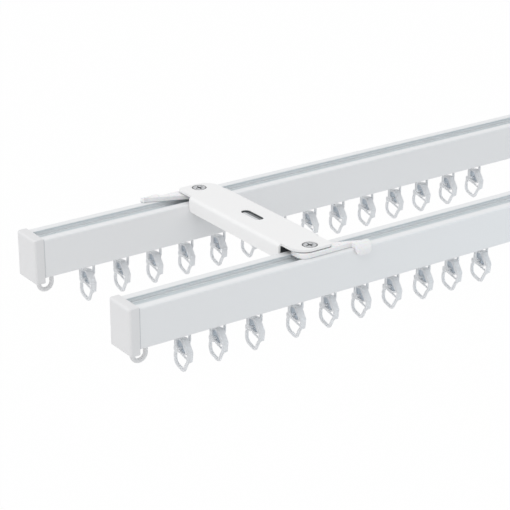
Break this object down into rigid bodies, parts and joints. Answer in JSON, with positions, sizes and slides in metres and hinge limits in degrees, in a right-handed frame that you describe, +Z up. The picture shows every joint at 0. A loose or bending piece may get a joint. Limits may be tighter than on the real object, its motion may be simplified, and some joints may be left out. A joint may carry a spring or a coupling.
{
  "type": "double ceiling curtain track",
  "caption": "Two white slotted rails side by side on pressed ceiling brackets with lock levers, end caps and sliding runners with curtain rings.",
  "frame": {"origin": "middle of the left bracket's ceiling face, at the centre of its screw slot", "axes": "+X along the rails to the right, +Y from the front rail to the rear rail, +Z up to the ceiling"},
  "size_m": [0.4239, 0.1036, 0.0414],
  "materials": {
    "painted_rail": "satin white coating",
    "painted_bracket": "satin white coating",
    "cap_plastic": "fine satin white",
    "lever_plastic": "soft gloss white",
    "runner_plastic": "milky translucent",
    "rivet_steel": "zinc plated"
  },
  "bodies": {
    "track": {"front_rail": "painted_rail", "rear_rail": "painted_rail", "front_left_cap": "cap_plastic", "rear_left_cap": "cap_plastic", "right_end_caps": "cap_plastic", "left_bracket": "painted_bracket", "right_bracket": "painted_bracket", "pivot_rivets": "rivet_steel"},
    "left_front_lever": {"left_front_lever": "lever_plastic"},
    "left_rear_lever": {"left_rear_lever": "lever_plastic"},
    "right_front_lever": {"right_front_lever": "lever_plastic"},
    "right_rear_lever": {"right_rear_lever": "lever_plastic"},
    "front_carrier_01": {"front_carrier_01": "runner_plastic"},
    "front_ring_01": {"front_ring_01": "runner_plastic"},
    "front_carrier_02": {"front_carrier_02": "runner_plastic"},
    "front_ring_02": {"front_ring_02": "runner_plastic"},
    "front_carrier_03": {"front_carrier_03": "runner_plastic"},
    "front_ring_03": {"front_ring_03": "runner_plastic"},
    "front_carrier_04": {"front_carrier_04": "runner_plastic"},
    "front_ring_04": {"front_ring_04": "runner_plastic"},
    "front_carrier_05": {"front_carrier_05": "runner_plastic"},
    "front_ring_05": {"front_ring_05": "runner_plastic"},
    "front_carrier_06": {"front_carrier_06": "runner_plastic"},
    "front_ring_06": {"front_ring_06": "runner_plastic"},
    "front_carrier_07": {"front_carrier_07": "runner_plastic"},
    "front_ring_07": {"front_ring_07": "runner_plastic"},
    "front_carrier_08": {"front_carrier_08": "runner_plastic"},
    "front_ring_08": {"front_ring_08": "runner_plastic"},
    "front_carrier_09": {"front_carrier_09": "runner_plastic"},
    "front_ring_09": {"front_ring_09": "runner_plastic"},
    "front_carrier_10": {"front_carrier_10": "runner_plastic"},
    "front_ring_10": {"front_ring_10": "runner_plastic"},
    "rear_carrier_01": {"rear_carrier_01": "runner_plastic"},
    "rear_ring_01": {"rear_ring_01": "runner_plastic"},
    "rear_carrier_02": {"rear_carrier_02": "runner_plastic"},
    "rear_ring_02": {"rear_ring_02": "runner_plastic"},
    "rear_carrier_03": {"rear_carrier_03": "runner_plastic"},
    "rear_ring_03": {"rear_ring_03": "runner_plastic"},
    "rear_carrier_04": {"rear_carrier_04": "runner_plastic"},
    "rear_ring_04": {"rear_ring_04": "runner_plastic"},
    "rear_carrier_05": {"rear_carrier_05": "runner_plastic"},
    "rear_ring_05": {"rear_ring_05": "runner_plastic"},
    "rear_carrier_06": {"rear_carrier_06": "runner_plastic"},
    "rear_ring_06": {"rear_ring_06": "runner_plastic"},
    "rear_carrier_07": {"rear_carrier_07": "runner_plastic"},
    "rear_ring_07": {"rear_ring_07": "runner_plastic"},
    "rear_carrier_08": {"rear_carrier_08": "runner_plastic"},
    "rear_ring_08": {"rear_ring_08": "runner_plastic"},
    "rear_carrier_09": {"rear_carrier_09": "runner_plastic"},
    "rear_ring_09": {"rear_ring_09": "runner_plastic"},
    "rear_carrier_10": {"rear_carrier_10": "runner_plastic"},
    "rear_ring_10": {"rear_ring_10": "runner_plastic"},
    "rear_carrier_11": {"rear_carrier_11": "runner_plastic"},
    "rear_ring_11": {"rear_ring_11": "runner_plastic"},
    "rear_carrier_12": {"rear_carrier_12": "runner_plastic"},
    "rear_ring_12": {"rear_ring_12": "runner_plastic"},
    "rear_carrier_13": {"rear_carrier_13": "runner_plastic"},
    "rear_ring_13": {"rear_ring_13": "runner_plastic"},
    "rear_carrier_14": {"rear_carrier_14": "runner_plastic"},
    "rear_ring_14": {"rear_ring_14": "runner_plastic"}
  },
  "joints": [
    {"name": "left_front_lever_turn", "type": "hinge", "parent": "track", "child": "left_front_lever", "pos_m": [0, -0.04235, -0.0038], "axis": [0, 0, 1], "range_deg": [-90, 0]},
    {"name": "left_rear_lever_turn", "type": "hinge", "parent": "track", "child": "left_rear_lever", "pos_m": [0, 0.04235, -0.0038], "axis": [0, 0, 1], "range_deg": [-90, 0]},
    {"name": "right_front_lever_turn", "type": "hinge", "parent": "track", "child": "right_front_lever", "pos_m": [0.2363, -0.04235, -0.0038], "axis": [0, 0, 1], "range_deg": [-90, 0]},
    {"name": "right_rear_lever_turn", "type": "hinge", "parent": "track", "child": "right_rear_lever", "pos_m": [0.2363, 0.04235, -0.0038], "axis": [0, 0, 1], "range_deg": [-90, 0]},
    {"name": "front_slide_01", "type": "slide", "parent": "track", "child": "front_carrier_01", "axis": [1, 0, 0], "range_m": [-0.0094, 0.0079]},
    {"name": "front_swing_01", "type": "hinge", "parent": "front_carrier_01", "child": "front_ring_01", "pos_m": [-0.0643, -0.04235, -0.0303], "axis": [1, 0, 0], "range_deg": [-60, 60]},
    {"name": "front_slide_02", "type": "slide", "parent": "track", "child": "front_carrier_02", "axis": [1, 0, 0], "range_m": [-0.0079, 0.0091]},
    {"name": "front_swing_02", "type": "hinge", "parent": "front_carrier_02", "child": "front_ring_02", "pos_m": [-0.047, -0.04235, -0.0303], "axis": [1, 0, 0], "range_deg": [-60, 60]},
    {"name": "front_slide_03", "type": "slide", "parent": "track", "child": "front_carrier_03", "axis": [1, 0, 0], "range_m": [-0.0091, 0.012]},
    {"name": "front_swing_03", "type": "hinge", "parent": "front_carrier_03", "child": "front_ring_03", "pos_m": [-0.0285, -0.04235, -0.0303], "axis": [1, 0, 0], "range_deg": [-60, 60]},
    {"name": "front_slide_04", "type": "slide", "parent": "track", "child": "front_carrier_04", "axis": [1, 0, 0], "range_m": [-0.012, 0.0083]},
    {"name": "front_swing_04", "type": "hinge", "parent": "front_carrier_04", "child": "front_ring_04", "pos_m": [-0.0071, -0.04235, -0.0303], "axis": [1, 0, 0], "range_deg": [-60, 60]},
    {"name": "front_slide_05", "type": "slide", "parent": "track", "child": "front_carrier_05", "axis": [1, 0, 0], "range_m": [-0.0083, 0.0083]},
    {"name": "front_swing_05", "type": "hinge", "parent": "front_carrier_05", "child": "front_ring_05", "pos_m": [0.0106, -0.04235, -0.0303], "axis": [1, 0, 0], "range_deg": [-60, 60]},
    {"name": "front_slide_06", "type": "slide", "parent": "track", "child": "front_carrier_06", "axis": [1, 0, 0], "range_m": [-0.0083, 0.0079]},
    {"name": "front_swing_06", "type": "hinge", "parent": "front_carrier_06", "child": "front_ring_06", "pos_m": [0.0283, -0.04235, -0.0303], "axis": [1, 0, 0], "range_deg": [-60, 60]},
    {"name": "front_slide_07", "type": "slide", "parent": "track", "child": "front_carrier_07", "axis": [1, 0, 0], "range_m": [-0.0079, 0.0086]},
    {"name": "front_swing_07", "type": "hinge", "parent": "front_carrier_07", "child": "front_ring_07", "pos_m": [0.0456, -0.04235, -0.0303], "axis": [1, 0, 0], "range_deg": [-60, 60]},
    {"name": "front_slide_08", "type": "slide", "parent": "track", "child": "front_carrier_08", "axis": [1, 0, 0], "range_m": [-0.0086, 0.0075]},
    {"name": "front_swing_08", "type": "hinge", "parent": "front_carrier_08", "child": "front_ring_08", "pos_m": [0.0636, -0.04235, -0.0303], "axis": [1, 0, 0], "range_deg": [-60, 60]},
    {"name": "front_slide_09", "type": "slide", "parent": "track", "child": "front_carrier_09", "axis": [1, 0, 0], "range_m": [-0.0075, 0.0081]},
    {"name": "front_swing_09", "type": "hinge", "parent": "front_carrier_09", "child": "front_ring_09", "pos_m": [0.0805, -0.04235, -0.0303], "axis": [1, 0, 0], "range_deg": [-60, 60]},
    {"name": "front_slide_10", "type": "slide", "parent": "track", "child": "front_carrier_10", "axis": [1, 0, 0], "range_m": [-0.0081, 0.2081]},
    {"name": "front_swing_10", "type": "hinge", "parent": "front_carrier_10", "child": "front_ring_10", "pos_m": [0.098, -0.04235, -0.0303], "axis": [1, 0, 0], "range_deg": [-60, 60]},
    {"name": "rear_slide_01", "type": "slide", "parent": "track", "child": "rear_carrier_01", "axis": [1, 0, 0], "range_m": [-0.0096, 0.0083]},
    {"name": "rear_swing_01", "type": "hinge", "parent": "rear_carrier_01", "child": "rear_ring_01", "pos_m": [-0.0602, 0.04235, -0.0303], "axis": [1, 0, 0], "range_deg": [-60, 60]},
    {"name": "rear_slide_02", "type": "slide", "parent": "track", "child": "rear_carrier_02", "axis": [1, 0, 0], "range_m": [-0.0083, 0.008]},
    {"name": "rear_swing_02", "type": "hinge", "parent": "rear_carrier_02", "child": "rear_ring_02", "pos_m": [-0.0425, 0.04235, -0.0303], "axis": [1, 0, 0], "range_deg": [-60, 60]},
    {"name": "rear_slide_03", "type": "slide", "parent": "track", "child": "rear_carrier_03", "axis": [1, 0, 0], "range_m": [-0.008, 0.008]},
    {"name": "rear_swing_03", "type": "hinge", "parent": "rear_carrier_03", "child": "rear_ring_03", "pos_m": [-0.0251, 0.04235, -0.0303], "axis": [1, 0, 0], "range_deg": [-60, 60]},
    {"name": "rear_slide_04", "type": "slide", "parent": "track", "child": "rear_carrier_04", "axis": [1, 0, 0], "range_m": [-0.008, 0.0085]},
    {"name": "rear_swing_04", "type": "hinge", "parent": "rear_carrier_04", "child": "rear_ring_04", "pos_m": [-0.0077, 0.04235, -0.0303], "axis": [1, 0, 0], "range_deg": [-60, 60]},
    {"name": "rear_slide_05", "type": "slide", "parent": "track", "child": "rear_carrier_05", "axis": [1, 0, 0], "range_m": [-0.0085, 0.0082]},
    {"name": "rear_swing_05", "type": "hinge", "parent": "rear_carrier_05", "child": "rear_ring_05", "pos_m": [0.0102, 0.04235, -0.0303], "axis": [1, 0, 0], "range_deg": [-60, 60]},
    {"name": "rear_slide_06", "type": "slide", "parent": "track", "child": "rear_carrier_06", "axis": [1, 0, 0], "range_m": [-0.0082, 0.0082]},
    {"name": "rear_swing_06", "type": "hinge", "parent": "rear_carrier_06", "child": "rear_ring_06", "pos_m": [0.0278, 0.04235, -0.0303], "axis": [1, 0, 0], "range_deg": [-60, 60]},
    {"name": "rear_slide_07", "type": "slide", "parent": "track", "child": "rear_carrier_07", "axis": [1, 0, 0], "range_m": [-0.0082, 0.0086]},
    {"name": "rear_swing_07", "type": "hinge", "parent": "rear_carrier_07", "child": "rear_ring_07", "pos_m": [0.0454, 0.04235, -0.0303], "axis": [1, 0, 0], "range_deg": [-60, 60]},
    {"name": "rear_slide_08", "type": "slide", "parent": "track", "child": "rear_carrier_08", "axis": [1, 0, 0], "range_m": [-0.0086, 0.0077]},
    {"name": "rear_swing_08", "type": "hinge", "parent": "rear_carrier_08", "child": "rear_ring_08", "pos_m": [0.0634, 0.04235, -0.0303], "axis": [1, 0, 0], "range_deg": [-60, 60]},
    {"name": "rear_slide_09", "type": "slide", "parent": "track", "child": "rear_carrier_09", "axis": [1, 0, 0], "range_m": [-0.0077, 0.0086]},
    {"name": "rear_swing_09", "type": "hinge", "parent": "rear_carrier_09", "child": "rear_ring_09", "pos_m": [0.0805, 0.04235, -0.0303], "axis": [1, 0, 0], "range_deg": [-60, 60]},
    {"name": "rear_slide_10", "type": "slide", "parent": "track", "child": "rear_carrier_10", "axis": [1, 0, 0], "range_m": [-0.0086, 0.0083]},
    {"name": "rear_swing_10", "type": "hinge", "parent": "rear_carrier_10", "child": "rear_ring_10", "pos_m": [0.0985, 0.04235, -0.0303], "axis": [1, 0, 0], "range_deg": [-60, 60]},
    {"name": "rear_slide_11", "type": "slide", "parent": "track", "child": "rear_carrier_11", "axis": [1, 0, 0], "range_m": [-0.0083, 0.0081]},
    {"name": "rear_swing_11", "type": "hinge", "parent": "rear_carrier_11", "child": "rear_ring_11", "pos_m": [0.1162, 0.04235, -0.0303], "axis": [1, 0, 0], "range_deg": [-60, 60]},
    {"name": "rear_slide_12", "type": "slide", "parent": "track", "child": "rear_carrier_12", "axis": [1, 0, 0], "range_m": [-0.0081, 0.0083]},
    {"name": "rear_swing_12", "type": "hinge", "parent": "rear_carrier_12", "child": "rear_ring_12", "pos_m": [0.1337, 0.04235, -0.0303], "axis": [1, 0, 0], "range_deg": [-60, 60]},
    {"name": "rear_slide_13", "type": "slide", "parent": "track", "child": "rear_carrier_13", "axis": [1, 0, 0], "range_m": [-0.0083, 0.0083]},
    {"name": "rear_swing_13", "type": "hinge", "parent": "rear_carrier_13", "child": "rear_ring_13", "pos_m": [0.1514, 0.04235, -0.0303], "axis": [1, 0, 0], "range_deg": [-60, 60]},
    {"name": "rear_slide_14", "type": "slide", "parent": "track", "child": "rear_carrier_14", "axis": [1, 0, 0], "range_m": [-0.0083, 0.1409]},
    {"name": "rear_swing_14", "type": "hinge", "parent": "rear_carrier_14", "child": "rear_ring_14", "pos_m": [0.1691, 0.04235, -0.0303], "axis": [1, 0, 0], "range_deg": [-60, 60]}
  ]
}
